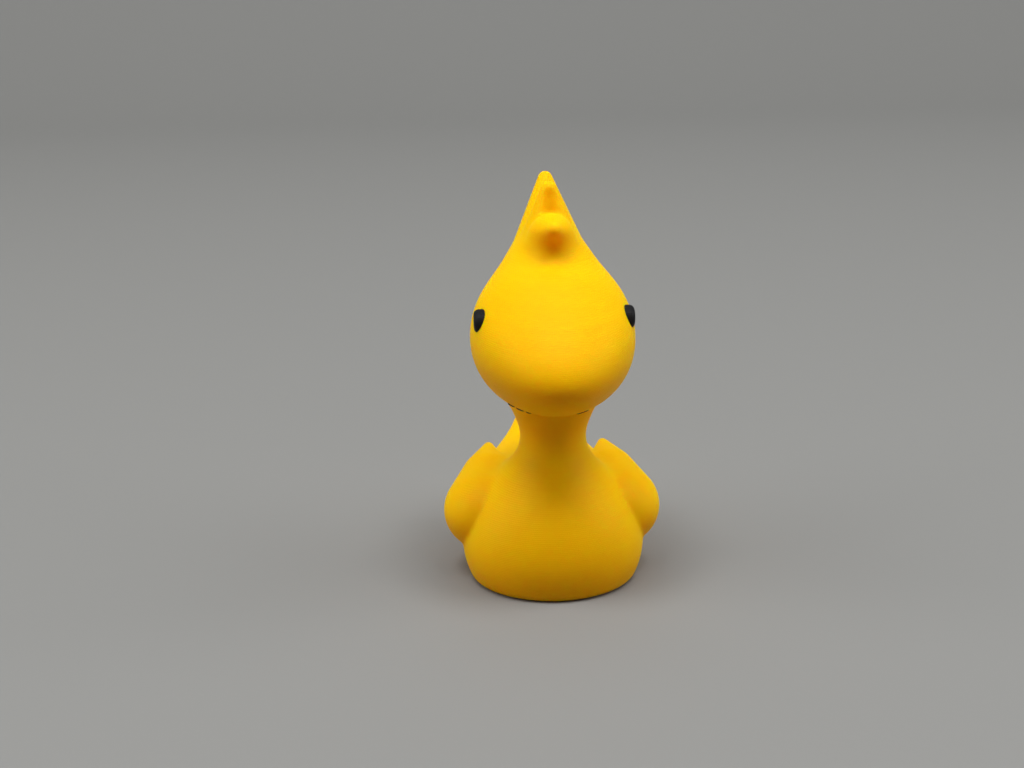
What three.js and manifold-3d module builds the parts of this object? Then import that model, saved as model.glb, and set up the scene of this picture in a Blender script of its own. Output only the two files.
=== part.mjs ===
import * as THREE from 'three';
import { LoftGeometry } from 'three/addons/geometries/LoftGeometry.js';
import { mergeVertices } from 'three/addons/utils/BufferGeometryUtils.js';
import Module from 'manifold-3d';

// A small crested toy duck, printed in one hard piece, with two plugged-in eyes and a mouth line in a groove.
// Millimetres. The duck faces -Y, its left side is +X, and it stands on the plane Z = 0.
// A "reach" is how far either side of a meeting two forms run into each other.

// Trunk: a round chest, a rump behind it and an upturned tail.
const CHEST_Y = -4.2;
const CHEST_Z = 4.2;
const CHEST_HALF_WIDTH = 10;
const CHEST_HALF_LENGTH = 8.4;
const CHEST_HALF_HEIGHT = 9.3;
const RUMP_Y = 3;
const RUMP_Z = 4.8;
const RUMP_HALF_WIDTH = 8.1;
const RUMP_HALF_LENGTH = 9;
const RUMP_HALF_HEIGHT = 7.4;
const RUMP_REACH = 6;
const TAIL_ROOT_Y = 8;
const TAIL_ROOT_Z = 5.9;
const TAIL_ROOT_RADIUS = 4.7;
const TAIL_TIP_Y = 16.9;
const TAIL_TIP_Z = 14.5;
const TAIL_TIP_RADIUS = 1;
const TAIL_SPREAD = 1.5;
const TAIL_REACH = 5;
const FOOT_REACH = 1.5;

// Neck: a round waisted column that flares up into the head.
const NECK_Y = -4.6;
const WAIST_Z = 14.6;
const WAIST_RADIUS = 3.25;
const NECK_FLARE = 0.042;
const NECK_FLARE_HEIGHT = 6;
const NECK_TOP_Z = 24.4;
const NECK_SINK = 1;
const SHOULDER_REACH = 5.25;
const THROAT_REACH = 0.5;

// Head: a round skull and a broad bill that runs out of it with no brow between.
const SKULL_Y = -4.5;
const SKULL_Z = 29;
const SKULL_RADIUS = 6.75;
const BILL_Y = -5.5;
const BILL_Z = 27.65;
const BILL_HALF_WIDTH = 7.55;
const BILL_FRONT_LENGTH = 12;
const BILL_BACK_LENGTH = 7.5;
const BILL_HALF_HEIGHT = 6.05;
const BILL_REACH = 7;

// Crest: three lobes on the midline, each stepping up and back.
// The front one hooks forward and the middle one has a flute down its front.
const REAR_ROOT_Y = -3;
const REAR_ROOT_Z = 30.2;
const REAR_ROOT_RADIUS = 6.65;
const REAR_TIP_Y = 3.5;
const REAR_TIP_Z = 44.05;
const REAR_TIP_RADIUS = 0.8;
const MIDDLE_ROOT_Y = -2;
const MIDDLE_ROOT_Z = 32;
const MIDDLE_ROOT_RADIUS = 5.5;
const MIDDLE_TIP_Y = -1.75;
const MIDDLE_TIP_Z = 43.8;
const MIDDLE_TIP_RADIUS = 0.9;
const FRONT_ROOT_Y = -1.2;
const FRONT_ROOT_Z = 35;
const FRONT_ROOT_RADIUS = 4.6;
const FRONT_BEND_Y = -4.3;
const FRONT_BEND_Z = 39.4;
const FRONT_BEND_RADIUS = 1.7;
const HOOK_TIP_Y = -7.3;
const HOOK_TIP_Z = 40.6;
const HOOK_TIP_RADIUS = 0.75;
const FLUTE_FOOT_Y = -4.2;
const FLUTE_FOOT_Z = 41.2;
const FLUTE_HEAD_Y = -3.85;
const FLUTE_HEAD_Z = 43.4;
const FLUTE_RADIUS = 1.15;
const FLUTE_REACH = 0.5;
const LOBE_REACH = 0.4;
const HOOK_REACH = 2.4;
const CREST_REACH = 3.4;

// Wings: a full shoulder that tapers up and back to a small tip beside the rump.
// They run softly into the back above, and meet the side in a crease below.
const SHOULDER_X = 7.75;
const SHOULDER_Y = -2.4;
const SHOULDER_Z = 7.5;
const SHOULDER_RADIUS = 4.5;
const BLADE_X = 7.1;
const BLADE_Y = 1.8;
const BLADE_Z = 9.7;
const BLADE_RADIUS = 3;
const WING_TIP_X = 6.75;
const WING_TIP_Y = 6;
const WING_TIP_Z = 11.85;
const WING_TIP_RADIUS = 0.6;
const WING_FOOT_REACH = 0.35;
const WING_TOP_REACH = 1;
const WING_SOFT_FROM_Z = 7.4;
const WING_SOFT_TO_Z = 12.4;

// Eyes: round plugs pushed in sideways, with flat faces that stand proud of the head.
const EYE_Y = -7.3;
const EYE_Z = 31;
const EYE_RADIUS = 1.28;
const EYE_FACE_X = 8.57;
const EYE_LENGTH = 2.4;
const EYE_EDGE_ROUND = 0.5;

// Mouth: a line round the underside of the bill, in a plane that rises towards the cheeks.
const MOUTH_TILT_DEG = 51;
const MOUTH_HALF_SWEEP_DEG = 38;
const MOUTH_LINE_HALF_HEIGHT = 0.25;
const MOUTH_LINE_HALF_DEPTH = 0.35;
const MOUTH_LINE_PROUD = 0.08;

// The space left round a plug in its socket and round the line in its groove.
const SEAT_CLEARANCE = 0.15;

// Fineness of the surface.
const CELL = 1.06;
const CREST_CELL = 0.65;
const MIDLINE_CELL = 0.8;
const MIDLINE_HALF_SPAN = 2.4;
const SETTLE_PASSES = 3;
const SETTLE_NUDGE = 0.05;
const SETTLE_LIMIT = 0.25;
const EYE_STEPS = 28;
const EYE_EDGE_STEPS = 3;
const MOUTH_STEPS = 44;
const MOUTH_SECTION_STEPS = 10;
const WELD = 1e-4;

const YELLOW = new THREE.MeshStandardMaterial({ color: 0xf2b60a, roughness: 0.55, metalness: 0 });
const BLACK = new THREE.MeshStandardMaterial({ color: 0x1c1c1d, roughness: 0.45, metalness: 0 });

const wasm = await Module();
wasm.setup();

const onMidline = (y, z) => new THREE.Vector3(0, y, z);

// How far a point lies outside an egg, less than nothing inside it.
function egg(centre, halfWidth, halfLength, halfHeight) {
  const radii = new THREE.Vector3(halfWidth, halfLength, halfHeight);
  const unit = new THREE.Vector3();
  const slope = new THREE.Vector3();
  return (point) => {
    unit.subVectors(point, centre).divide(radii);
    slope.copy(unit).divide(radii);
    return (unit.length() * (unit.length() - 1)) / Math.max(slope.length(), WELD);
  };
}

// How far a point lies outside two balls and the cone that skins them.
function taper(root, rootRadius, tip, tipRadius) {
  const axis = new THREE.Vector3().subVectors(tip, root);
  const length = axis.length();
  axis.normalize();
  const sine = (rootRadius - tipRadius) / length;
  const cosine = Math.sqrt(1 - sine * sine);
  const arm = new THREE.Vector3();
  return (point) => {
    arm.subVectors(point, root);
    const along = arm.dot(axis);
    const across = Math.sqrt(Math.max(arm.lengthSq() - along * along, 0));
    const foot = along - (across * sine) / cosine;
    if (foot < 0) return Math.hypot(along, across) - rootRadius;
    if (foot > length) return Math.hypot(along - length, across) - tipRadius;
    return across * cosine + along * sine - rootRadius;
  };
}

// Two forms run together with a soft meeting, and a form with a soft hollow taken out of it.
function blend(a, b, reach) {
  const share = Math.max(reach - Math.abs(a - b), 0) / reach;
  return Math.min(a, b) - (share * share * reach) / 4;
}
const hollow = (form, tool, reach) => -blend(-form, tool, reach);

const chest = egg(onMidline(CHEST_Y, CHEST_Z), CHEST_HALF_WIDTH, CHEST_HALF_LENGTH, CHEST_HALF_HEIGHT);
const rump = egg(onMidline(RUMP_Y, RUMP_Z), RUMP_HALF_WIDTH, RUMP_HALF_LENGTH, RUMP_HALF_HEIGHT);
const tailRoot = onMidline(TAIL_ROOT_Y, TAIL_ROOT_Z);
const tailTip = onMidline(TAIL_TIP_Y, TAIL_TIP_Z);
const roundTail = taper(tailRoot, TAIL_ROOT_RADIUS, tailTip, TAIL_TIP_RADIUS);
const squeezed = new THREE.Vector3();
function trunk(point) {
  const tail = roundTail(squeezed.set(point.x / TAIL_SPREAD, point.y, point.z));
  return blend(blend(chest(point), rump(point), RUMP_REACH), tail, TAIL_REACH);
}

function neck(point) {
  const rise = THREE.MathUtils.clamp(point.z - WAIST_Z, 0, NECK_FLARE_HEIGHT);
  const radius = WAIST_RADIUS + NECK_FLARE * rise * rise;
  const side = Math.hypot(point.x, point.y - NECK_Y) - radius;
  return Math.max(side, point.z - NECK_TOP_Z, NECK_SINK - point.z);
}

const skull = egg(onMidline(SKULL_Y, SKULL_Z), SKULL_RADIUS, SKULL_RADIUS, SKULL_RADIUS);
const billCentre = onMidline(BILL_Y, BILL_Z);
const billFront = egg(billCentre, BILL_HALF_WIDTH, BILL_FRONT_LENGTH, BILL_HALF_HEIGHT);
const billBack = egg(billCentre, BILL_HALF_WIDTH, BILL_BACK_LENGTH, BILL_HALF_HEIGHT);
const bill = (point) => (point.y < BILL_Y ? billFront(point) : billBack(point));

const rearRoot = onMidline(REAR_ROOT_Y, REAR_ROOT_Z);
const rearTip = onMidline(REAR_TIP_Y, REAR_TIP_Z);
const rearLobe = taper(rearRoot, REAR_ROOT_RADIUS, rearTip, REAR_TIP_RADIUS);
const middleRoot = onMidline(MIDDLE_ROOT_Y, MIDDLE_ROOT_Z);
const middleTip = onMidline(MIDDLE_TIP_Y, MIDDLE_TIP_Z);
const middleCone = taper(middleRoot, MIDDLE_ROOT_RADIUS, middleTip, MIDDLE_TIP_RADIUS);
const fluteFoot = onMidline(FLUTE_FOOT_Y, FLUTE_FOOT_Z);
const fluteHead = onMidline(FLUTE_HEAD_Y, FLUTE_HEAD_Z);
const flute = taper(fluteFoot, FLUTE_RADIUS, fluteHead, FLUTE_RADIUS);
const middleLobe = (point) => hollow(middleCone(point), flute(point), FLUTE_REACH);
const frontRoot = onMidline(FRONT_ROOT_Y, FRONT_ROOT_Z);
const frontBend = onMidline(FRONT_BEND_Y, FRONT_BEND_Z);
const frontStem = taper(frontRoot, FRONT_ROOT_RADIUS, frontBend, FRONT_BEND_RADIUS);
const hookTip = onMidline(HOOK_TIP_Y, HOOK_TIP_Z);
const hook = taper(frontBend, FRONT_BEND_RADIUS, hookTip, HOOK_TIP_RADIUS);
const frontLobe = (point) => blend(frontStem(point), hook(point), HOOK_REACH);
function head(point) {
  const crest = blend(blend(rearLobe(point), middleLobe(point), LOBE_REACH), frontLobe(point), LOBE_REACH);
  const face = blend(skull(point), bill(point), BILL_REACH);
  return blend(face, crest, CREST_REACH);
}

const shoulder = new THREE.Vector3(SHOULDER_X, SHOULDER_Y, SHOULDER_Z);
const blade = new THREE.Vector3(BLADE_X, BLADE_Y, BLADE_Z);
const wingTip = new THREE.Vector3(WING_TIP_X, WING_TIP_Y, WING_TIP_Z);
const fullWing = taper(shoulder, SHOULDER_RADIUS, blade, BLADE_RADIUS);
const leanWing = taper(blade, BLADE_RADIUS, wingTip, WING_TIP_RADIUS);
const folded = new THREE.Vector3();
function wings(point) {
  folded.set(Math.abs(point.x), point.y, point.z);
  return Math.min(fullWing(folded), leanWing(folded));
}

// The whole duck, with the edge of its foot rounded towards the floor.
function duck(point) {
  const stem = blend(trunk(point), neck(point), SHOULDER_REACH);
  const upright = blend(stem, head(point), THROAT_REACH);
  const soft = THREE.MathUtils.smoothstep(point.z, WING_SOFT_FROM_Z, WING_SOFT_TO_Z);
  const wingReach = THREE.MathUtils.lerp(WING_FOOT_REACH, WING_TOP_REACH, soft);
  return hollow(blend(upright, wings(point), wingReach), point.z, FOOT_REACH);
}

// Lines of a grid from one end to the other, as far apart as stepAt says at each.
function gridLines(from, to, stepAt) {
  const lines = [];
  for (let at = from; at < to; at += stepAt(at)) lines.push(at);
  return lines;
}

// Moves a point onto the surface of a form along the form's own slope.
const AXES = [new THREE.Vector3(1, 0, 0), new THREE.Vector3(0, 1, 0), new THREE.Vector3(0, 0, 1)];
function settle(point, form) {
  const slope = new THREE.Vector3();
  const probe = new THREE.Vector3();
  for (let pass = 0; pass < SETTLE_PASSES; pass += 1) {
    const ahead = AXES.map((axis) => form(probe.copy(point).addScaledVector(axis, SETTLE_NUDGE)));
    const behind = AXES.map((axis) => form(probe.copy(point).addScaledVector(axis, -SETTLE_NUDGE)));
    slope.fromArray(ahead.map((value, axis) => (value - behind[axis]) / (2 * SETTLE_NUDGE)));
    const step = form(point) / Math.max(slope.lengthSq(), WELD);
    point.addScaledVector(slope, THREE.MathUtils.clamp(-step, -SETTLE_LIMIT, SETTLE_LIMIT));
  }
  return point;
}

// The corners of a grid cell, and the edges that join them.
const CORNERS = [0, 1].flatMap((i) => [0, 1].flatMap((j) => [0, 1].map((k) => [i, j, k])));
const EDGES = CORNERS.flatMap((from) => {
  const axes = [0, 1, 2].filter((axis) => from[axis] === 0);
  return axes.map((axis) => [from, from.map((value, d) => (d === axis ? 1 : value))]);
});

// The skin of a form: one point in each grid cell that the surface crosses,
// and one quad round each grid edge that it crosses.
function skin(form, lines) {
  const counts = lines.map((axisLines) => axisLines.length);
  const slot = ([i, j, k]) => (i * counts[1] + j) * counts[2] + k;
  const place = (node) => new THREE.Vector3(...node.map((line, axis) => lines[axis][line]));
  const plus = (node, offset) => node.map((line, axis) => line + offset[axis]);
  const nodes = lines[0].flatMap((_, i) => lines[1].flatMap((__, j) => lines[2].map((___, k) => [i, j, k])));
  const depth = Float64Array.from(nodes, (node) => form(place(node)));
  const isInside = (node) => depth[slot(node)] < 0;

  const points = [];
  const pointOfCell = new Map();
  function cellPoint(cell) {
    const key = slot(cell);
    if (pointOfCell.has(key)) return pointOfCell.get(key);
    const ends = EDGES.map(([from, to]) => [plus(cell, from), plus(cell, to)]);
    const crossed = ends.filter(([from, to]) => isInside(from) !== isInside(to));
    const middle = new THREE.Vector3();
    crossed.forEach(([from, to]) => {
      const share = depth[slot(from)] / (depth[slot(from)] - depth[slot(to)]);
      middle.add(place(from).lerp(place(to), share));
    });
    points.push(settle(middle.divideScalar(crossed.length), form));
    pointOfCell.set(key, points.length - 1);
    return points.length - 1;
  }

  const triangles = [];
  function addQuad([a, b, c, d]) {
    const acrossFirst = points[a].distanceTo(points[c]) <= points[b].distanceTo(points[d]);
    triangles.push(...(acrossFirst ? [a, b, c, a, c, d] : [b, c, d, b, d, a]));
  }
  nodes.forEach((here) => {
    [0, 1, 2].filter((axis) => here[axis] + 1 < counts[axis]).forEach((axis) => {
      const there = here.map((line, d) => line + (d === axis ? 1 : 0));
      if (isInside(here) === isInside(there)) return;
      const [second, third] = [(axis + 1) % 3, (axis + 2) % 3];
      const around = [[-1, -1], [0, -1], [0, 0], [-1, 0]].map(([beside, below]) => {
        const offset = [0, 0, 0];
        offset[second] = beside;
        offset[third] = below;
        return cellPoint(plus(here, offset));
      });
      addQuad(isInside(here) ? around : around.reverse());
    });
  });
  return new THREE.BufferGeometry().setFromPoints(points).setIndex(triangles);
}

// A closed surface as a solid that can be joined and cut, and back.
function toSolid(geometry) {
  const bare = new THREE.BufferGeometry().setAttribute('position', geometry.getAttribute('position'));
  const welded = mergeVertices(bare.setIndex(geometry.getIndex()), WELD);
  const vertProperties = new Float32Array(welded.getAttribute('position').array);
  const triVerts = new Uint32Array(welded.getIndex().array);
  return new wasm.Manifold(new wasm.Mesh({ numProp: 3, vertProperties, triVerts }));
}
function toMesh(name, solid, material) {
  const { vertProperties, triVerts } = solid.getMesh();
  const geometry = new THREE.BufferGeometry();
  geometry.setAttribute('position', new THREE.BufferAttribute(vertProperties, 3));
  geometry.setIndex(new THREE.BufferAttribute(triVerts, 1));
  geometry.computeVertexNormals();
  const mesh = new THREE.Mesh(geometry, material);
  mesh.name = name;
  return mesh;
}

// A round plug lying along X on one side of the head, from its inner end out to its face.
function plug(side, radius, innerX, faceX) {
  const profile = new THREE.Path().moveTo(0, innerX).lineTo(radius, innerX);
  profile.lineTo(radius, faceX - EYE_EDGE_ROUND);
  profile.quadraticCurveTo(radius, faceX, radius - EYE_EDGE_ROUND, faceX).lineTo(0, faceX);
  const geometry = new THREE.LatheGeometry(profile.getPoints(EYE_EDGE_STEPS), EYE_STEPS);
  return toSolid(geometry.rotateZ((-side * Math.PI) / 2).translate(0, EYE_Y, EYE_Z));
}
const LEFT = 1;
const RIGHT = -1;
const eyeInnerX = EYE_FACE_X - EYE_LENGTH;
const eye = (side) => plug(side, EYE_RADIUS, eyeInnerX, EYE_FACE_X);
const socketRadius = EYE_RADIUS + SEAT_CLEARANCE;
const socket = (side) => plug(side, socketRadius, eyeInnerX - SEAT_CLEARANCE, EYE_FACE_X + EYE_LENGTH);

// The mouth's plane goes through the middle of the bill.
// Each ray in that plane is followed out to the duck's surface.
const mouthTilt = THREE.MathUtils.degToRad(MOUTH_TILT_DEG);
const mouthForward = new THREE.Vector3(0, -Math.cos(mouthTilt), -Math.sin(mouthTilt));
const mouthDown = new THREE.Vector3(0, Math.sin(mouthTilt), -Math.cos(mouthTilt));
function surfaceAlong(outward) {
  let inside = 0;
  let outside = BILL_FRONT_LENGTH + BILL_HALF_WIDTH;
  while (outside - inside > WELD) {
    const middle = (inside + outside) / 2;
    if (duck(billCentre.clone().addScaledVector(outward, middle)) < 0) inside = middle;
    else outside = middle;
  }
  return inside;
}
function mouthSection(angle, grown) {
  const outward = mouthForward.clone().multiplyScalar(Math.cos(angle)).setX(Math.sin(angle));
  const sunk = surfaceAlong(outward) + MOUTH_LINE_PROUD - MOUTH_LINE_HALF_DEPTH;
  const centre = billCentre.clone().addScaledVector(outward, sunk);
  return Array.from({ length: MOUTH_SECTION_STEPS }, (_, step) => {
    const turn = (2 * Math.PI * step) / MOUTH_SECTION_STEPS;
    const down = Math.sin(turn) * (MOUTH_LINE_HALF_HEIGHT + grown);
    const out = Math.cos(turn) * (MOUTH_LINE_HALF_DEPTH + grown);
    return centre.clone().addScaledVector(mouthDown, down).addScaledVector(outward, out);
  });
}
function mouthSweep(grown) {
  const half = THREE.MathUtils.degToRad(MOUTH_HALF_SWEEP_DEG) + grown / BILL_HALF_WIDTH;
  const angles = Array.from({ length: MOUTH_STEPS + 1 }, (_, step) => half * ((2 * step) / MOUTH_STEPS - 1));
  const sections = angles.map((angle) => mouthSection(angle, grown));
  return toSolid(new LoftGeometry(sections, { capStart: true, capEnd: true }));
}

// Grid lines lie in mirrored pairs either side of the midline, closer together near it and in the crest.
const margin = 2 * CELL;
const widest = SHOULDER_X + SHOULDER_RADIUS + margin;
const across = gridLines(MIDLINE_CELL / 2, widest, (x) => (x < MIDLINE_HALF_SPAN ? MIDLINE_CELL : CELL));
const mirrored = [...across.map((x) => -x).reverse(), ...across];
const tailEnd = TAIL_TIP_Y + TAIL_TIP_RADIUS;
const along = gridLines(BILL_Y - BILL_FRONT_LENGTH - margin, tailEnd + margin, () => CELL);
const crestTop = REAR_TIP_Z + REAR_TIP_RADIUS;
const crestFoot = SKULL_Z + SKULL_RADIUS;
const upwards = gridLines(-margin + CELL / 2, crestTop + margin, (z) => (z < crestFoot ? CELL : CREST_CELL));

const whole = toSolid(skin(duck, [mirrored, along, upwards]));
const body = whole.subtract(socket(LEFT)).subtract(socket(RIGHT)).subtract(mouthSweep(SEAT_CLEARANCE));

const group = new THREE.Group();
group.name = 'crested_duck';
group.add(toMesh('body', body, YELLOW));
group.add(toMesh('eye_left', eye(LEFT), BLACK));
group.add(toMesh('eye_right', eye(RIGHT), BLACK));
group.add(toMesh('mouth_line', mouthSweep(0), BLACK));

export default group;
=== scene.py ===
"""A small printed toy duck with a lobed crest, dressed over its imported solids.

The duck's own sizes and the camera's place are millimetres in the part's frame: the duck faces -Y, its left
side is +X and it stands on the plane Z = 0. The finishes, the stage and the lamps are in metres, as the
finished meshes are. A "reach" is how far either side of a meeting two forms run into each other.
"""

from __future__ import annotations

import logging
import math
from dataclasses import dataclass
from enum import Enum

import bpy
from mathutils import Matrix, Vector


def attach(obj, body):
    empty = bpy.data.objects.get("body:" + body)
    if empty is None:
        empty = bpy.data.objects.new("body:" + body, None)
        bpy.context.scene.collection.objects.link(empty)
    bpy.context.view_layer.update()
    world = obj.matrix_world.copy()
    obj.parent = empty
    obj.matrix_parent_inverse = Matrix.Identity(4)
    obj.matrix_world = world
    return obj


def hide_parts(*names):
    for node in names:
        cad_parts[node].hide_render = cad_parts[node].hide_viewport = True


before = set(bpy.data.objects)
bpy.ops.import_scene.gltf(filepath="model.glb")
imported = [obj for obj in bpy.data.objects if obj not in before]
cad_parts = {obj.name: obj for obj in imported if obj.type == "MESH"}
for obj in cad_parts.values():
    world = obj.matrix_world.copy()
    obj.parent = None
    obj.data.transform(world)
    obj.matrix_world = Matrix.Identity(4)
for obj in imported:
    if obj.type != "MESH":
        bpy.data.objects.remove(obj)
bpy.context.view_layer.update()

LOG = logging.getLogger("duck")
MM = 0.001
# Keeps an egg's sum from dividing by nothing at its middle.
LEAST_SLOPE = 1e-4
# How deep a soft meeting fills the crease between two forms, as a share of its reach.
MEETING_SHARE = 0.25

Point = tuple[float, float, float]
Colour = tuple[float, float, float, float]
Spans = tuple[tuple[float, float], ...]

ORIGIN: Point = (0.0, 0.0, 0.0)
BILL_MIDDLE: Point = (0.0, -5.5, 27.65)
FRONT_LOBE_BEND: Point = (0.0, -4.3, 39.4)
FRONT_LOBE_BEND_RADIUS = 1.7
WING_BEND: Point = (7.1, 1.8, 9.7)
WING_BEND_RADIUS = 3.0


class Slot(Enum):
    """The record's material slots."""

    YELLOW = "yellow_plastic"
    BLACK = "black_plastic"


class Side(Enum):
    """A side of the duck, as the sign of its X."""

    LEFT = 1.0
    RIGHT = -1.0


class Tree(Enum):
    """The sorts of node tree, each by the start of its type names."""

    FORM = "GeometryNode"
    FINISH = "ShaderNode"


class Wire:
    """A number, a point or a mesh that runs through a node tree. Numbers add up like plain ones."""

    def __init__(self, sheet: Sheet, socket: bpy.types.NodeSocket) -> None:
        """Holds the sheet of nodes and the socket that the value comes out of."""
        self.sheet = sheet
        self.socket = socket

    def __add__(self, other: Value) -> Wire:
        """This number and another."""
        return self.sheet.math("ADD", self, other)

    def __sub__(self, other: Value) -> Wire:
        """This number less another."""
        return self.sheet.math("SUBTRACT", self, other)

    def __rsub__(self, other: float) -> Wire:
        """A plain number less this one."""
        return self.sheet.math("SUBTRACT", other, self)

    def __mul__(self, other: Value) -> Wire:
        """This number times another."""
        return self.sheet.math("MULTIPLY", self, other)

    def __truediv__(self, other: Value) -> Wire:
        """This number over another."""
        return self.sheet.math("DIVIDE", self, other)

    def __rtruediv__(self, other: float) -> Wire:
        """A plain number over this one."""
        return self.sheet.math("DIVIDE", other, self)

    def __neg__(self) -> Wire:
        """This number with its sign turned."""
        return self * -1.0

    def least(self, other: Value) -> Wire:
        """The smaller of two numbers."""
        return self.sheet.math("MINIMUM", self, other)

    def most(self, other: Value) -> Wire:
        """The larger of two numbers."""
        return self.sheet.math("MAXIMUM", self, other)

    def unsigned(self) -> Wire:
        """This number without its sign."""
        return self.sheet.math("ABSOLUTE", self)

    def squared(self) -> Wire:
        """This number times itself."""
        return self * self

    def root(self) -> Wire:
        """The square root of this number, nothing where it is less than nothing."""
        return self.sheet.math("SQRT", self.most(0.0))

    def split(self) -> tuple[Wire, ...]:
        """The three parts of a point."""
        node = self.sheet.node("ShaderNodeSeparateXYZ", {"Vector": self})
        return tuple(Wire(self.sheet, socket) for socket in node.outputs)


Value = Wire | float
Feeds = dict[str | int, object]


class Sheet:
    """A node tree with short ways to add nodes to it and to wire them up."""

    def __init__(self, tree: bpy.types.NodeTree) -> None:
        """Holds the tree that the nodes go into."""
        self.tree = tree

    def node(self, kind: str, feeds: Feeds | None = None, **settings: object) -> bpy.types.Node:
        """Adds one node.

        Args:
            kind: the node's type.
            feeds: what goes into its sockets, by name or place: a wire, or a plain value.
            settings: the node's own properties.

        Returns:
            The node.
        """
        node = self.tree.nodes.new(kind)
        for name, setting in settings.items():
            setattr(node, name, setting)
        for key, value in (feeds or {}).items():
            if isinstance(value, Wire):
                self.tree.links.new(value.socket, node.inputs[key])
            else:
                node.inputs[key].default_value = value
        return node

    def wire(self, kind: str, feeds: Feeds | None = None, out: str | int = 0, **settings: object) -> Wire:
        """Adds one node and follows one of its outputs.

        Args:
            kind: the node's type.
            feeds: what goes into its sockets.
            out: the output's name or place.
            settings: the node's own properties.

        Returns:
            The wire from that output.
        """
        return Wire(self, self.node(kind, feeds, **settings).outputs[out])

    def place(self, recipe: Recipe, feeds: Feeds) -> dict[str, Wire]:
        """Places a node group.

        Args:
            recipe: the group.
            feeds: what goes into its named inputs.

        Returns:
            The wires from its outputs, by name.
        """
        group = self.node(f"{recipe.kind.value}Group", feeds, node_tree=recipe.tree)
        return {socket.name: Wire(self, socket) for socket in group.outputs}

    def math(self, operation: str, *values: Value) -> Wire:
        """Adds a sum on numbers."""
        return self.wire("ShaderNodeMath", dict(enumerate(values)), operation=operation)

    def vector(self, operation: str, *values: object, out: str = "Vector") -> Wire:
        """Adds a sum on points."""
        return self.wire("ShaderNodeVectorMath", dict(enumerate(values)), out, operation=operation)

    def length(self, arm: Wire) -> Wire:
        """The length of an arm."""
        return self.vector("LENGTH", arm, out="Value")

    def scaled(self, arm: Wire, factor: Wire) -> Wire:
        """An arm times a number."""
        return self.wire("ShaderNodeVectorMath", {0: arm, "Scale": factor}, operation="SCALE")

    def point(self, x: Value, y: Value, z: Value) -> Wire:
        """Puts three numbers together as a point."""
        return self.wire("ShaderNodeCombineXYZ", {"X": x, "Y": y, "Z": z})

    def noise(self, where: Wire, scale: Value, detail: float) -> Wire:
        """Adds a cloudy pattern between 0 and 1."""
        return self.wire("ShaderNodeTexNoise", {"Vector": where, "Scale": scale, "Detail": detail}, "Fac")

    def ramp(self, value: Wire, start: Value, end: Value, low: Value = 0.0, high: Value = 1.0) -> Wire:
        """Adds a smooth climb from one number to another.

        Args:
            value: what the climb follows.
            start: where it starts.
            end: where it ends.
            low: the number before its start.
            high: the number past its end.

        Returns:
            The number on the climb.
        """
        feeds = {"Value": value, "From Min": start, "From Max": end, "To Min": low, "To Max": high}
        return self.wire("ShaderNodeMapRange", feeds, interpolation_type="SMOOTHSTEP")


class Recipe(Sheet):
    """A node tree with named inputs and outputs."""

    def __init__(self, name: str, kind: Tree) -> None:
        """Starts an empty tree.

        Args:
            name: the tree's name.
            kind: the sort of tree.
        """
        super().__init__(bpy.data.node_groups.new(name, f"{kind.value}Tree"))
        self.kind = kind
        self.inlet = self.tree.nodes.new("NodeGroupInput")
        self.outlet = self.tree.nodes.new("NodeGroupOutput")
        self.values: dict[str, object] = {}

    def takes(self, name: str, value: object = 0.0) -> Wire:
        """Adds a named input.

        Args:
            name: the input's name.
            value: a number, a count, a point or an object. It says the sort of input, and make() puts it in.

        Returns:
            The wire that comes in.
        """
        kinds = {tuple: "Vector", int: "Int", bpy.types.Object: "Object"}
        kind = kinds.get(type(value), "Float")
        made = self.tree.interface.new_socket(name, in_out="INPUT", socket_type=f"NodeSocket{kind}")
        self.values[made.identifier] = value
        inlet = next(socket for socket in self.inlet.outputs if socket.identifier == made.identifier)
        return Wire(self, inlet)

    def gives(self, name: str, wire: Wire, kind: str = "Float") -> None:
        """Adds a named output.

        Args:
            name: the output's name.
            wire: what goes out of it.
            kind: the sort of value.
        """
        made = self.tree.interface.new_socket(name, in_out="OUTPUT", socket_type=f"NodeSocket{kind}")
        outlet = next(socket for socket in self.outlet.inputs if socket.identifier == made.identifier)
        self.tree.links.new(wire.socket, outlet)

    def make(self, piece: str, mesh: Wire, material: bpy.types.Material) -> bpy.types.Object:
        """Ends a form's tree, runs it once and keeps the result as a plain mesh.

        Args:
            piece: the name of the object that it makes.
            mesh: the geometry at the end of the tree.
            material: the finish of the piece.

        Returns:
            The object, at the origin, with no modifier left on it.
        """
        smooth = self.wire("GeometryNodeSetShadeSmooth", {"Geometry": mesh})
        whole = self.wire("GeometryNodeRealizeInstances", {"Geometry": smooth})
        dressed = self.wire("GeometryNodeSetMaterial", {"Geometry": whole, "Material": material})
        self.gives("Mesh", dressed, "Geometry")
        made = bpy.data.objects.new(piece, bpy.data.meshes.new(f"{piece}_start"))
        bpy.context.scene.collection.objects.link(made)
        modifier = made.modifiers.new(self.tree.name, "NODES")
        modifier.node_group = self.tree
        for identifier, value in self.values.items():
            modifier[identifier] = value
        graph = bpy.context.evaluated_depsgraph_get()
        baked = bpy.data.meshes.new_from_object(made.evaluated_get(graph), depsgraph=graph)
        made.modifiers.remove(modifier)
        start, made.data = made.data, baked
        baked.name = piece
        bpy.data.meshes.remove(start)
        return made


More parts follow.
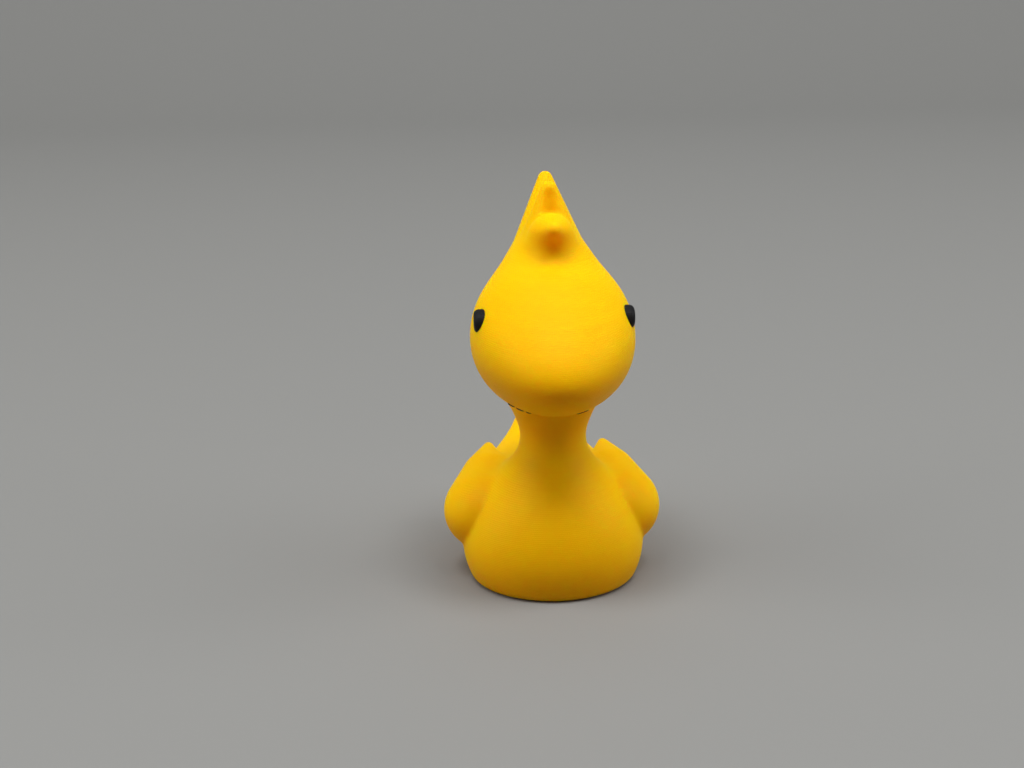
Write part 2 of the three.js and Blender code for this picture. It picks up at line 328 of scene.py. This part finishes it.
class ShapeKit:
    """The node groups for the duck's forms. Each gives how far a point lies outside a form."""

    def __init__(self) -> None:
        """Builds the groups."""
        self.egg = self._egg()
        self.taper = self._taper()
        self.meeting = self._meeting()

    @staticmethod
    def _egg() -> Recipe:
        """Builds the group for a rounded form with a half width, a half length and a half height.

        Returns:
            The group.
        """
        egg = Recipe("egg form", Tree.FORM)
        point, centre, half = (egg.takes(name, ORIGIN) for name in ("Point", "Centre", "Half sizes"))
        unit = egg.vector("DIVIDE", egg.vector("SUBTRACT", point, centre), half)
        span = egg.length(unit)
        slope = egg.length(egg.vector("DIVIDE", unit, half))
        egg.gives("Outside", span * (span - 1.0) / slope.most(LEAST_SLOPE))
        return egg

    @staticmethod
    def _taper() -> Recipe:
        """Builds the group for two balls and the cone that skins them.

        Returns:
            The group.
        """
        taper = Recipe("taper form", Tree.FORM)
        point, root, tip = (taper.takes(name, ORIGIN) for name in ("Point", "Root", "Tip"))
        root_radius, tip_radius = (taper.takes(name) for name in ("Root radius", "Tip radius"))
        axis = taper.vector("SUBTRACT", tip, root)
        length = taper.length(axis)
        sine = (root_radius - tip_radius) / length
        cosine = (1.0 - sine.squared()).root()
        arm = taper.vector("SUBTRACT", point, root)
        along = taper.vector("DOT_PRODUCT", arm, axis, out="Value") / length
        across = (taper.length(arm).squared() - along.squared()).root()
        ball = (along - across * sine / cosine).most(0.0).least(length)
        reach = ((along - ball).squared() + across.squared()).root()
        taper.gives("Outside", reach - root_radius + ball * sine)
        return taper

    @staticmethod
    def _meeting() -> Recipe:
        """Builds the group that runs two forms together with a soft meeting.

        Returns:
            The group.
        """
        meeting = Recipe("soft meeting", Tree.FORM)
        one, other, reach = (meeting.takes(name) for name in ("One", "Other", "Reach"))
        share = (reach - (one - other).unsigned()).most(0.0) / reach
        meeting.gives("Outside", one.least(other) - share.squared() * reach * MEETING_SHARE)
        return meeting

    def join(self, sheet: Sheet, one: Wire, other: Wire, reach: Value) -> Wire:
        """Runs two forms together.

        Args:
            sheet: where the nodes go.
            one: how far a point lies outside the first form.
            other: how far it lies outside the second.
            reach: how far the two run into each other.

        Returns:
            How far the point lies outside both.
        """
        return sheet.place(self.meeting, {"One": one, "Other": other, "Reach": reach})["Outside"]

    def cut(self, sheet: Sheet, form: Wire, tool: Wire, reach: Value) -> Wire:
        """Takes one form out of another and softens the edge that is left.

        Args:
            sheet: where the nodes go.
            form: how far a point lies outside the form.
            tool: how far it lies outside what is taken away.
            reach: how far the edge is softened.

        Returns:
            How far the point lies outside what is left.
        """
        return -self.join(sheet, -form, tool, reach)


@dataclass(frozen=True)
class Egg:
    """A rounded form with a half width, a half length and a half height of its own."""

    name: str
    centre: Point
    half: Point

    def outside(self, tree: Recipe, kit: ShapeKit, at: Wire) -> Wire:
        """Adds the egg to a tree, with named inputs for its sizes.

        Args:
            tree: where the nodes go.
            kit: the groups for the forms.
            at: the point.

        Returns:
            How far the point lies outside the egg.
        """
        feeds = {
            "Point": at,
            "Centre": tree.takes(f"{self.name} centre", self.centre),
            "Half sizes": tree.takes(f"{self.name} half sizes", self.half),
        }
        return tree.place(kit.egg, feeds)["Outside"]


@dataclass(frozen=True)
class Taper:
    """A ball that tapers to a smaller one."""

    name: str
    root: Point
    root_radius: float
    tip: Point
    tip_radius: float

    def outside(self, tree: Recipe, kit: ShapeKit, at: Wire) -> Wire:
        """Adds the taper to a tree, with named inputs for its sizes.

        Args:
            tree: where the nodes go.
            kit: the groups for the forms.
            at: the point.

        Returns:
            How far the point lies outside the taper.
        """
        feeds = {
            "Point": at,
            "Root": tree.takes(f"{self.name} root", self.root),
            "Root radius": tree.takes(f"{self.name} root radius", self.root_radius),
            "Tip": tree.takes(f"{self.name} tip", self.tip),
            "Tip radius": tree.takes(f"{self.name} tip radius", self.tip_radius),
        }
        return tree.place(kit.taper, feeds)["Outside"]


@dataclass(frozen=True)
class Trunk:
    """A round chest, a rump behind it and an upturned tail."""

    chest: Egg = Egg("Chest", (0.0, -4.2, 4.2), (10.0, 8.4, 9.3))
    rump: Egg = Egg("Rump", (0.0, 3.0, 4.8), (8.1, 9.0, 7.4))
    tail: Taper = Taper("Tail", (0.0, 8.0, 5.9), 4.7, (0.0, 16.9, 14.5), 1.0)
    rump_reach: float = 6.0
    tail_spread: float = 1.5
    tail_reach: float = 5.0

    def outside(self, tree: Recipe, kit: ShapeKit, at: Wire) -> Wire:
        """Adds the trunk to a tree.

        Args:
            tree: where the nodes go.
            kit: the groups for the forms.
            at: the point.

        Returns:
            How far the point lies outside the trunk.
        """
        spread = tree.takes("Tail spread", self.tail_spread)
        squeezed = tree.vector("DIVIDE", at, tree.point(spread, 1.0, 1.0))
        barrel = kit.join(
            tree,
            self.chest.outside(tree, kit, at),
            self.rump.outside(tree, kit, at),
            tree.takes("Rump reach", self.rump_reach),
        )
        tail = self.tail.outside(tree, kit, squeezed)
        return kit.join(tree, barrel, tail, tree.takes("Tail reach", self.tail_reach))


@dataclass(frozen=True)
class Neck:
    """A waisted column that flares up into the head, a little flatter behind than in front."""

    y: float = -4.6
    waist_z: float = 14.6
    waist_half_width: float = 3.25
    back_to_width: float = 0.86
    flare: float = 0.042
    flare_height: float = 6.0
    top_z: float = 24.4
    foot_z: float = 1.0

    def outside(self, tree: Recipe, at: Wire) -> Wire:
        """Adds the neck to a tree.

        Args:
            tree: where the nodes go.
            at: the point.

        Returns:
            How far the point lies outside the neck.
        """
        x, y, z = at.split()
        climb = (z - tree.takes("Waist height", self.waist_z)).most(0.0)
        rise = climb.least(tree.takes("Neck flare height", self.flare_height))
        flare = rise.squared() * tree.takes("Neck flare", self.flare)
        half_width = flare + tree.takes("Waist half width", self.waist_half_width)
        along = y - tree.takes("Neck place", self.y)
        away = along.most(0.0) / tree.takes("Neck back to width", self.back_to_width) + along.least(0.0)
        side = (x.squared() + away.squared()).root() - half_width
        above = z - tree.takes("Neck top", self.top_z)
        below = tree.takes("Neck foot", self.foot_z) - z
        return side.most(above).most(below)


@dataclass(frozen=True)
class Head:
    """A round skull and a broad bill that runs out of it with no brow between and droops at its tip."""

    skull: Egg = Egg("Skull", (0.0, -4.5, 29.0), (6.75, 6.75, 6.75))
    bill_half_width: float = 7.55
    bill_half_height: float = 6.05
    bill_front_length: float = 12.0
    bill_back_length: float = 7.5
    bill_reach: float = 7.0
    bill_droop: float = 1.2

    def outside(self, tree: Recipe, kit: ShapeKit, at: Wire) -> Wire:
        """Adds the skull and the bill to a tree.

        Args:
            tree: where the nodes go.
            kit: the groups for the forms.
            at: the point.

        Returns:
            How far the point lies outside them.
        """
        x, y, z = at.split()
        _, root_y, _ = BILL_MIDDLE
        ahead = tree.math("LESS_THAN", y, root_y)
        share = (root_y - y).most(0.0) / self.bill_front_length
        lifted = tree.point(x, y, z + share.squared() * tree.takes("Bill droop", self.bill_droop))
        front = self._bill("front", self.bill_front_length).outside(tree, kit, lifted) * ahead
        back = self._bill("back", self.bill_back_length).outside(tree, kit, at) * (1.0 - ahead)
        reach = tree.takes("Bill reach", self.bill_reach)
        return kit.join(tree, self.skull.outside(tree, kit, at), front + back, reach)

    def _bill(self, end: str, length: float) -> Egg:
        """One end of the bill, as an egg about its middle."""
        return Egg(f"Bill {end}", BILL_MIDDLE, (self.bill_half_width, length, self.bill_half_height))


@dataclass(frozen=True)
class Crest:
    """Three lobes on the midline, each stepping up and back: the front one hooked, the middle one fluted."""

    rear: Taper = Taper("Rear lobe", (0.0, -3.0, 30.2), 6.65, (0.0, 3.5, 44.05), 0.8)
    middle: Taper = Taper("Middle lobe", (0.0, -2.0, 32.0), 5.5, (0.0, -1.75, 43.8), 0.9)
    front: Taper = Taper("Front lobe", (0.0, -1.2, 35.0), 4.6, FRONT_LOBE_BEND, FRONT_LOBE_BEND_RADIUS)
    hook: Taper = Taper("Front hook", FRONT_LOBE_BEND, FRONT_LOBE_BEND_RADIUS, (0.0, -7.3, 40.6), 0.75)
    flute: Taper = Taper("Flute", (0.0, -4.2, 41.2), 1.15, (0.0, -3.85, 43.4), 1.15)
    lobe_reach: float = 0.4
    hook_reach: float = 2.4
    flute_reach: float = 0.5
    crest_reach: float = 3.4

    def grown_on(self, face: Wire, tree: Recipe, kit: ShapeKit, at: Wire) -> Wire:
        """Adds the crest to a tree and runs it into the head.

        Args:
            face: how far the point lies outside the head.
            tree: where the nodes go.
            kit: the groups for the forms.
            at: the point.

        Returns:
            How far the point lies outside head and crest.
        """
        reach = tree.takes("Lobe reach", self.lobe_reach)
        lobes = (self.rear, self.middle, self.front, self.hook)
        rear, middle, stem, hook = (lobe.outside(tree, kit, at) for lobe in lobes)
        flute = self.flute.outside(tree, kit, at)
        fluted = kit.cut(tree, middle, flute, tree.takes("Flute reach", self.flute_reach))
        tall = kit.join(tree, rear, fluted, reach)
        curl = kit.join(tree, stem, hook, tree.takes("Hook reach", self.hook_reach))
        lobed = kit.join(tree, tall, curl, reach)
        return kit.join(tree, face, lobed, tree.takes("Crest reach", self.crest_reach))


@dataclass(frozen=True)
class Wings:
    """Full shoulders that taper up and back to small tips, creased into the side below and soft above."""

    shoulder: Taper = Taper("Wing shoulder", (7.75, -2.4, 7.5), 4.5, WING_BEND, WING_BEND_RADIUS)
    blade: Taper = Taper("Wing blade", WING_BEND, WING_BEND_RADIUS, (6.75, 6.0, 11.85), 0.6)
    foot_reach: float = 0.35
    top_reach: float = 1.0
    soft_from_z: float = 8.6
    soft_to_z: float = 13.6

    def grown_on(self, form: Wire, tree: Recipe, kit: ShapeKit, at: Wire) -> Wire:
        """Adds both wings to a tree and runs them into the duck.

        Args:
            form: how far the point lies outside the duck without its wings.
            tree: where the nodes go.
            kit: the groups for the forms.
            at: the point.

        Returns:
            How far the point lies outside the duck with its wings.
        """
        x, y, z = at.split()
        folded = tree.point(x.unsigned(), y, z)
        wings = self.shoulder.outside(tree, kit, folded).least(self.blade.outside(tree, kit, folded))
        reach = tree.ramp(
            z,
            tree.takes("Wing soft from", self.soft_from_z),
            tree.takes("Wing soft to", self.soft_to_z),
            tree.takes("Wing foot reach", self.foot_reach),
            tree.takes("Wing top reach", self.top_reach),
        )
        return kit.join(tree, form, wings, reach)


@dataclass(frozen=True)
class DuckBody:
    """The duck's one yellow form, meshed from its forms on a fine grid."""

    trunk: Trunk = Trunk()
    neck: Neck = Neck()
    head: Head = Head()
    crest: Crest = Crest()
    wings: Wings = Wings()
    shoulder_reach: float = 5.25
    throat_reach: float = 0.5
    nape_reach: float = 2.6
    throat_y: float = -6.5
    nape_y: float = -2.0
    foot_reach: float = 0.7
    grid_from: Point = (-14.0, -22.0, -2.0)
    grid_to: Point = (14.0, 20.0, 48.0)
    grid_step: float = 0.25
    settle_passes: int = 3

    def build(self, kit: ShapeKit, material: bpy.types.Material) -> bpy.types.Object:
        """Makes the body.

        Args:
            kit: the groups for the forms.
            material: the yellow finish.

        Returns:
            The body's object.
        """
        tree = Recipe("duck body", Tree.FORM)
        at = tree.wire("GeometryNodeInputPosition")
        _, y, z = at.split()
        stem = kit.join(
            tree,
            self.trunk.outside(tree, kit, at),
            self.neck.outside(tree, at),
            tree.takes("Shoulder reach", self.shoulder_reach),
        )
        head = self.crest.grown_on(self.head.outside(tree, kit, at), tree, kit, at)
        head_reach = tree.ramp(
            y,
            tree.takes("Throat place", self.throat_y),
            tree.takes("Nape place", self.nape_y),
            tree.takes("Throat reach", self.throat_reach),
            tree.takes("Nape reach", self.nape_reach),
        )
        winged = self.wings.grown_on(kit.join(tree, stem, head, head_reach), tree, kit, at)
        outside = kit.cut(tree, winged, z, tree.takes("Foot reach", self.foot_reach))
        return tree.make("duck_body", self._skin(tree, outside), material)

    def _skin(self, tree: Recipe, outside: Wire) -> Wire:
        """Meshes the form and settles its points onto the true surface.

        Args:
            tree: where the nodes go.
            outside: how far any point lies outside the form.

        Returns:
            The mesh, in metres.
        """
        steps = [round((to - start) / self.grid_step) + 1 for start, to in zip(self.grid_from, self.grid_to)]
        feeds = {
            "Density": -outside,
            "Background": -max(self.grid_to),
            "Min": tree.takes("Grid from", self.grid_from),
            "Max": tree.takes("Grid to", self.grid_to),
        }
        for axis, count in zip("XYZ", steps):
            feeds[f"Resolution {axis}"] = tree.takes(f"Grid lines {axis}", count)
        block = tree.wire("GeometryNodeVolumeCube", feeds)
        skin = tree.wire("GeometryNodeVolumeToMesh", {"Volume": block, "Threshold": 0.0})
        inwards = tree.scaled(tree.wire("GeometryNodeInputNormal"), -outside)
        for _ in range(self.settle_passes):
            skin = tree.wire("GeometryNodeSetPosition", {"Geometry": skin, "Offset": inwards})
        return tree.wire("GeometryNodeTransform", {"Geometry": skin, "Scale": (MM, MM, MM)})


@dataclass(frozen=True)
class EyePlug:
    """A round plug pushed into the head sideways, with a flat face and a rounded edge."""

    side: Side
    y: float = -7.3
    z: float = 31.0
    radius: float = 1.28
    face_x: float = 8.57
    length: float = 2.4
    edge_squareness: float = 4.5
    steps_round: int = 64
    steps_along: int = 48
    seam_gap: float = 0.001

    def build(self, name: str, material: bpy.types.Material) -> bpy.types.Object:
        """Makes the plug by turning a rounded profile about an axis along X.

        Args:
            name: the piece's name.
            material: the black finish.

        Returns:
            The plug's object.
        """
        tree = Recipe(f"{name} form", Tree.FORM)
        side = tree.takes("Side", self.side.value)
        radius = tree.takes("Radius", self.radius * MM)
        half = tree.takes("Length", self.length * MM) * 0.5
        face = tree.takes("Face", self.face_x * MM)
        power = 2.0 / tree.takes("Edge squareness", self.edge_squareness)
        counts = {
            "Vertices X": tree.takes("Steps round", self.steps_round) + 1.0,
            "Vertices Y": tree.takes("Steps along", self.steps_along) + 1.0,
        }
        grid = tree.wire("GeometryNodeMeshGrid", {"Size X": 1.0, "Size Y": 1.0, **counts})
        round_share, along_share, _ = tree.wire("GeometryNodeInputPosition").split()
        turn = (round_share * side) * math.tau
        swing = (along_share + 0.5) * math.pi
        level = tree.math("COSINE", swing)
        bulge = tree.math("POWER", tree.math("SINE", swing).most(0.0), power)
        along = tree.math("SIGN", level) * tree.math("POWER", level.unsigned(), power)
        x = (face - half + along * half) * side
        y = tree.math("COSINE", turn) * bulge * radius + tree.takes("Place along", self.y * MM)
        z = tree.math("SINE", turn) * bulge * radius + tree.takes("Height", self.z * MM)
        shaped = tree.wire("GeometryNodeSetPosition", {"Geometry": grid, "Position": tree.point(x, y, z)})
        seam = {"Geometry": shaped, "Distance": self.seam_gap * MM}
        return tree.make(name, tree.wire("GeometryNodeMergeByDistance", seam), material)


@dataclass(frozen=True)
class MouthLine:
    """A thin line laid round the underside of the bill, bare in short stretches and covered between them.

    A bare stretch stands proud of the bill. A covered one is sunk below that by the cover.
    """

    tilt_deg: float = 51.0
    half_sweep_deg: float = 38.0
    half_height: float = 0.25
    half_depth: float = 0.35
    proud: float = 0.11
    cover: float = 0.12
    bare_deg: Spans = ((-39.0, -33.5), (-30.5, -26.0), (-22.8, -20.6), (15.0, 23.0))
    fade_deg: float = 1.5
    ray_length: float = 25.0
    steps_along: int = 160
    steps_round: int = 16

    def build(self, body: bpy.types.Object, material: bpy.types.Material) -> bpy.types.Object:
        """Makes the line by following rays from the middle of the bill out to the body's surface.

        Args:
            body: the duck's body.
            material: the black finish.

        Returns:
            The line's object.
        """
        tree = Recipe("mouth line", Tree.FORM)
        tilt = tree.takes("Tilt", math.radians(self.tilt_deg))
        sweep = tree.takes("Half sweep", math.radians(self.half_sweep_deg))
        depth = tree.takes("Half depth", self.half_depth * MM)
        height = tree.takes("Half height", self.half_height * MM)
        middle = tree.takes("Bill middle", tuple(value * MM for value in BILL_MIDDLE))
        angle = (tree.wire("GeometryNodeSplineParameter", out="Factor") * 2.0 - 1.0) * sweep
        forward = tree.math("COSINE", angle)
        cosine, sine = tree.math("COSINE", tilt), tree.math("SINE", tilt)
        outward = tree.point(tree.math("SINE", angle), -(forward * cosine), -(forward * sine))
        solid = tree.wire("GeometryNodeObjectInfo", {"Object": tree.takes("Body", body)}, "Geometry")
        ray = {
            "Target Geometry": solid,
            "Source Position": middle,
            "Ray Direction": outward,
            "Ray Length": self.ray_length * MM,
        }
        cover = (1.0 - self._bare(tree, angle)) * tree.takes("Cover", self.cover * MM)
        sunk = depth - tree.takes("Proud", self.proud * MM) + cover
        far = tree.wire("GeometryNodeRaycast", ray, "Hit Distance") - sunk
        place = tree.vector("ADD", tree.scaled(outward, far), middle)
        steps = {
            "Curve": tree.wire("GeometryNodeCurvePrimitiveLine"),
            "Count": tree.takes("Steps along", self.steps_along),
        }
        path = tree.wire("GeometryNodeResampleCurve", steps)
        laid = tree.wire("GeometryNodeSetPosition", {"Geometry": path, "Position": place})
        upright = tree.point(0.0, -sine, cosine)
        turned = tree.wire("GeometryNodeSetCurveNormal", {"Curve": laid, "Normal": upright}, mode="FREE")
        circle = {"Resolution": self.steps_round, "Radius": 1.0}
        ring = tree.wire("GeometryNodeCurvePrimitiveCircle", circle, "Curve")
        oval = {"Geometry": ring, "Scale": tree.point(height, depth, 1.0)}
        section = tree.wire("GeometryNodeTransform", oval)
        tube = {"Curve": turned, "Profile Curve": section, "Fill Caps": True}
        return tree.make("mouth_inlay", tree.wire("GeometryNodeCurveToMesh", tube), material)

    def _bare(self, tree: Recipe, angle: Wire) -> Wire:
        """Gives 1 where the line lies bare and 0 where the yellow plastic covers it.

        Args:
            tree: the line's recipe.
            angle: the angle along the line.

        Returns:
            The share of the line that is bare.
        """
        fade = tree.takes("Fade", math.radians(self.fade_deg))
        shares: list[Wire] = []
        for start, end in self.bare_deg:
            half, middle = math.radians(end - start) / 2, math.radians(end + start) / 2
            shares.append((half - (angle - middle).unsigned()) / fade + 0.5)
        bare = shares[0]
        for share in shares[1:]:
            bare = bare.most(share)
        return bare.most(0.0).least(1.0)


class PrintMarks:
    """The shader groups for the marks that printing leaves and for a painted shade on walls that face down,
    shared by both plastics.
    """

    WANDER_DETAIL = 2.0
    CLOUD_DETAIL = 3.0
    SPECK_DETAIL = 1.0

    def __init__(self) -> None:
        """Builds the groups."""
        self.layers = self._layers()
        self.mottle = self._mottle()

    def _layers(self) -> Recipe:
        """Builds the group for level layer lines: a rounded bead on steep walls, terraces on flat tops.

        Returns:
            The group. Its painted shade is 0 on walls that face up and 1 on walls that face down, a mask that
            darkens the colour where less light falls.
        """
        marks = Recipe("layer lines", Tree.FINISH)
        bead, step = (marks.takes(name) for name in ("Bead depth", "Step depth"))
        wander, wander_scale = (marks.takes(name) for name in ("Wander", "Wander scale"))
        painted_shade_start, painted_shade_end = (marks.takes(name) for name in ("Painted shade start", "Painted shade end"))
        where = marks.wire("ShaderNodeTexCoord", out="Object")
        wave = marks.noise(where, wander_scale, self.WANDER_DETAIL) - 0.5
        layer = (where.split()[2] + wave * wander) / marks.takes("Layer height")
        part = marks.math("FRACT", layer)
        slope = marks.wire("ShaderNodeTexCoord", out="Normal").split()[2]
        round_bead = (1.0 - (part * 2.0 - 1.0).squared()).root() * bead
        terrace = (0.5 - part) * step * slope
        number = {"W": marks.math("FLOOR", layer)}
        marks.gives("Height", round_bead + terrace)
        # Painted shade: a mask that grows as the wall turns to face down, used to darken and redden the
        # colour where less light falls.
        marks.gives("Painted shade", marks.ramp(slope, painted_shade_start, painted_shade_end))
        marks.gives("Banding", marks.wire("ShaderNodeTexWhiteNoise", number, "Value", noise_dimensions="1D"))
        return marks

    def _mottle(self) -> Recipe:
        """Builds the group for a faint cloudiness and a fine speckle in the plastic.

        Returns:
            The group.
        """
        marks = Recipe("plastic mottle", Tree.FINISH)
        where = marks.wire("ShaderNodeTexCoord", out="Object")
        cloud, speck = (marks.takes(name) for name in ("Cloud size", "Speck size"))
        marks.gives("Cloud", marks.noise(where, 1.0 / cloud, self.CLOUD_DETAIL))
        marks.gives("Speck", marks.noise(where, 1.0 / speck, self.SPECK_DETAIL))
        return marks


@dataclass(frozen=True)
class PrintedPlastic:
    """A printed plastic: its colour, how it varies, a painted shade on walls that face down, its gloss and
    its layer lines.
    """

    name: str
    colour: Colour
    # The second colour takes both the random unevenness and the painted shade on walls that face down.
    uneven_and_shade_colour: Colour
    roughness: float
    roughness_swing: float
    colour_swing: float
    band_share: float = 0.3
    cloud_share: float = 0.4
    speck_share: float = 0.3
    cloud_size: float = 0.006
    speck_size: float = 0.0004
    # How far the painted shade on walls that face down pulls the colour toward the second one.
    painted_shade_swing: float = 0.0
    painted_shade_start: float = 0.35
    painted_shade_end: float = -0.5
    gloss: float = 0.05
    scatter: float = 0.0
    scatter_radius: Point = (1.0, 0.3, 0.03)
    scatter_scale: float = 0.0014
    layer_height: float = 0.0002
    bead_depth: float = 0.000014
    step_depth: float = 0.00005
    wander: float = 0.00002
    wander_scale: float = 350.0

    def material(self, marks: PrintMarks) -> bpy.types.Material:
        """Builds the material.

        Args:
            marks: the shader groups for the printing marks.

        Returns:
            The material.
        """
        made = bpy.data.materials.new(self.name)
        made.use_nodes = True
        made.node_tree.nodes.clear()
        sheet = Sheet(made.node_tree)
        lines = {
            "Layer height": self.layer_height,
            "Bead depth": self.bead_depth,
            "Step depth": self.step_depth,
            "Wander": self.wander,
            "Wander scale": self.wander_scale,
            "Painted shade start": self.painted_shade_start,
            "Painted shade end": self.painted_shade_end,
        }
        layers = sheet.place(marks.layers, lines)
        mottle = sheet.place(marks.mottle, {"Cloud size": self.cloud_size, "Speck size": self.speck_size})
        clouded = layers["Banding"] * self.band_share + mottle["Cloud"] * self.cloud_share
        uneven = clouded + mottle["Speck"] * self.speck_share
        # Random unevenness, plus painted shade: walls that face down are mixed toward the deeper colour.
        tone = uneven * self.colour_swing + layers["Painted shade"] * self.painted_shade_swing
        tones = {"Factor": tone, "A": self.colour, "B": self.uneven_and_shade_colour}
        bump = {"Height": layers["Height"], "Distance": 1.0, "Strength": 1.0}
        shader = sheet.node(
            "ShaderNodeBsdfPrincipled",
            {
                "Base Color": sheet.wire("ShaderNodeMix", tones, "Result", data_type="RGBA"),
                "Roughness": (mottle["Speck"] - 0.5) * self.roughness_swing + self.roughness,
                "Normal": sheet.wire("ShaderNodeBump", bump),
                "Specular IOR Level": self.gloss,
                "Subsurface Weight": self.scatter,
                "Subsurface Radius": self.scatter_radius,
                "Subsurface Scale": self.scatter_scale,
            },
        )
        end = sheet.node("ShaderNodeOutputMaterial")
        sheet.tree.links.new(shader.outputs["BSDF"], end.inputs["Surface"])
        return made


@dataclass(frozen=True)
class Stage:
    """A plain grey sweep: a level floor that curves up into a back wall."""

    width: float = 3.0
    front_y: float = -1.2
    bend_y: float = 0.35
    bend_radius: float = 0.25
    wall_top: float = 1.6
    bend_steps: int = 24
    colour: Colour = (0.23, 0.23, 0.222, 1.0)
    roughness: float = 0.7

    def build(self) -> bpy.types.Object:
        """Makes the sweep.

        Returns:
            The stage's object.
        """
        profile = [(self.front_y, 0.0), (self.bend_y, 0.0)]
        for step in range(1, self.bend_steps + 1):
            turn = math.pi / 2 * step / self.bend_steps
            rise = self.bend_radius * (1 - math.cos(turn))
            profile.append((self.bend_y + self.bend_radius * math.sin(turn), rise))
        profile.append((self.bend_y + self.bend_radius, self.wall_top))
        points = [(side.value * self.width / 2, y, z) for y, z in profile for side in (Side.RIGHT, Side.LEFT)]
        faces = [(2 * row, 2 * row + 1, 2 * row + 3, 2 * row + 2) for row in range(len(profile) - 1)]
        mesh = bpy.data.meshes.new("stage")
        mesh.from_pydata(points, [], faces)
        mesh.polygons.foreach_set("use_smooth", [True] * len(faces))
        made = bpy.data.objects.new("stage", mesh)
        bpy.context.scene.collection.objects.link(made)
        paint = bpy.data.materials.new("stage paint")
        paint.use_nodes = True
        shader = paint.node_tree.nodes["Principled BSDF"]
        shader.inputs["Base Color"].default_value = self.colour
        shader.inputs["Roughness"].default_value = self.roughness
        mesh.materials.append(paint)
        return made


@dataclass(frozen=True)
class Lamp:
    """A soft square lamp that looks at a point, with a twin across from it if it stands to one side."""

    name: str
    place: Point
    aim: Point
    size: float
    watts: float

    def build(self) -> None:
        """Makes the lamp, and its twin where it has one."""
        x, y, z = self.place
        for across in sorted({-x, x}):
            light = bpy.data.lights.new(self.name, "AREA")
            light.shape = "SQUARE"
            light.size = self.size
            light.energy = self.watts
            made = bpy.data.objects.new(self.name, light)
            made.location = (across, y, z)
            made.rotation_euler = (Vector(self.aim) - made.location).to_track_quat("-Z", "Y").to_euler()
            bpy.context.scene.collection.objects.link(made)


@dataclass(frozen=True)
class Studio:
    """Two key lamps high in front, a wide lamp at each side, one overhead and a faint even glow."""

    lamps: tuple[Lamp, ...] = (
        Lamp("key", place=(0.16, -0.16, 0.66), aim=(0.0, 0.0, 0.02), size=0.19, watts=1.8),
        Lamp("side", place=(0.8, -0.11, 0.5), aim=(0.0, 0.0, 0.02), size=0.7, watts=4.0),
        Lamp("overhead", place=(0.0, 0.05, 0.9), aim=ORIGIN, size=1.0, watts=2.6),
    )
    glow: Colour = (1.0, 1.0, 1.0, 1.0)
    glow_strength: float = 0.04

    def build(self) -> None:
        """Makes the lamps and the glow."""
        for lamp in self.lamps:
            lamp.build()
        world = bpy.data.worlds.new("studio")
        world.use_nodes = True
        background = world.node_tree.nodes["Background"]
        background.inputs["Color"].default_value = self.glow
        background.inputs["Strength"].default_value = self.glow_strength
        bpy.context.scene.world = world


@dataclass(frozen=True)
class PhotoCamera:
    """A camera at the photograph's viewing angle."""

    place: Point = (-13.356, -163.936, 74.871)
    azimuth_deg: float = -3.2
    elevation_deg: float = 18.0
    roll_deg: float = 0.9
    lens: float = 54.07
    sensor: float = 36.0
    nearest: float = 10.0

    def build(self) -> None:
        """Makes the camera and looks through it."""
        azimuth, elevation = math.radians(self.azimuth_deg), math.radians(self.elevation_deg)
        roll = math.radians(self.roll_deg)
        level_part = math.cos(elevation)
        back = Vector((math.sin(azimuth) * level_part, -math.cos(azimuth) * level_part, math.sin(elevation)))
        level = Vector((math.cos(azimuth), math.sin(azimuth), 0.0))
        upright = back.cross(level)
        right = math.cos(roll) * level - math.sin(roll) * upright
        up = math.sin(roll) * level + math.cos(roll) * upright
        data = bpy.data.cameras.new("photo camera")
        data.sensor_fit = "HORIZONTAL"
        data.sensor_width = self.sensor
        data.lens = self.lens
        data.clip_start = self.nearest * MM
        made = bpy.data.objects.new("photo camera", data)
        turn = Matrix((right, up, back)).transposed().to_4x4()
        made.matrix_world = Matrix.Translation(Vector(self.place) * MM) @ turn
        bpy.context.scene.collection.objects.link(made)
        bpy.context.scene.camera = made


YELLOW_PLASTIC = PrintedPlastic(
    name="yellow printed plastic",
    colour=(0.98, 0.53, 0.001, 1.0),
    # The deeper orange serves the random unevenness and the painted shade on walls that face down.
    uneven_and_shade_colour=(0.9, 0.32, 0.001, 1.0),
    roughness=0.5,
    roughness_swing=0.1,
    colour_swing=0.2,
    # Painted shade: walls that face down turn toward the deeper orange.
    painted_shade_swing=0.6,
    scatter=0.8,
)
BLACK_PLASTIC = PrintedPlastic(
    name="black printed plastic",
    colour=(0.012, 0.012, 0.013, 1.0),
    uneven_and_shade_colour=(0.02, 0.02, 0.02, 1.0),
    roughness=0.42,
    roughness_swing=0.1,
    colour_swing=0.8,
)


def fit(piece: bpy.types.Object, node: str) -> None:
    """Makes a piece ride on the part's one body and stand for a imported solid.

    Args:
        piece: the piece.
        node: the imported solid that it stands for.
    """
    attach(piece, "root")
    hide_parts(node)
    spans = [(max(places) - min(places)) / MM for places in zip(*piece.bound_box)]
    LOG.info("%s: %d faces, %.2f x %.2f x %.2f mm", piece.name, len(piece.data.polygons), *spans)


def main() -> None:
    """Builds the camera, the light, the stage and the pieces, in that order."""
    logging.basicConfig(level=logging.INFO, format="%(name)s: %(message)s")
    bpy.context.scene.view_settings.view_transform = "Standard"
    PhotoCamera().build()
    Studio().build()
    Stage().build()
    marks = PrintMarks()
    yellow, black = YELLOW_PLASTIC.material(marks), BLACK_PLASTIC.material(marks)
    body = DuckBody().build(ShapeKit(), yellow)
    fit(body, "body")
    fit(EyePlug(Side.LEFT).build("eye_plug_left", black), "eye_left")
    fit(EyePlug(Side.RIGHT).build("eye_plug_right", black), "eye_right")
    fit(MouthLine().build(body, black), "mouth_line")


if __name__ == "__main__":
    main()
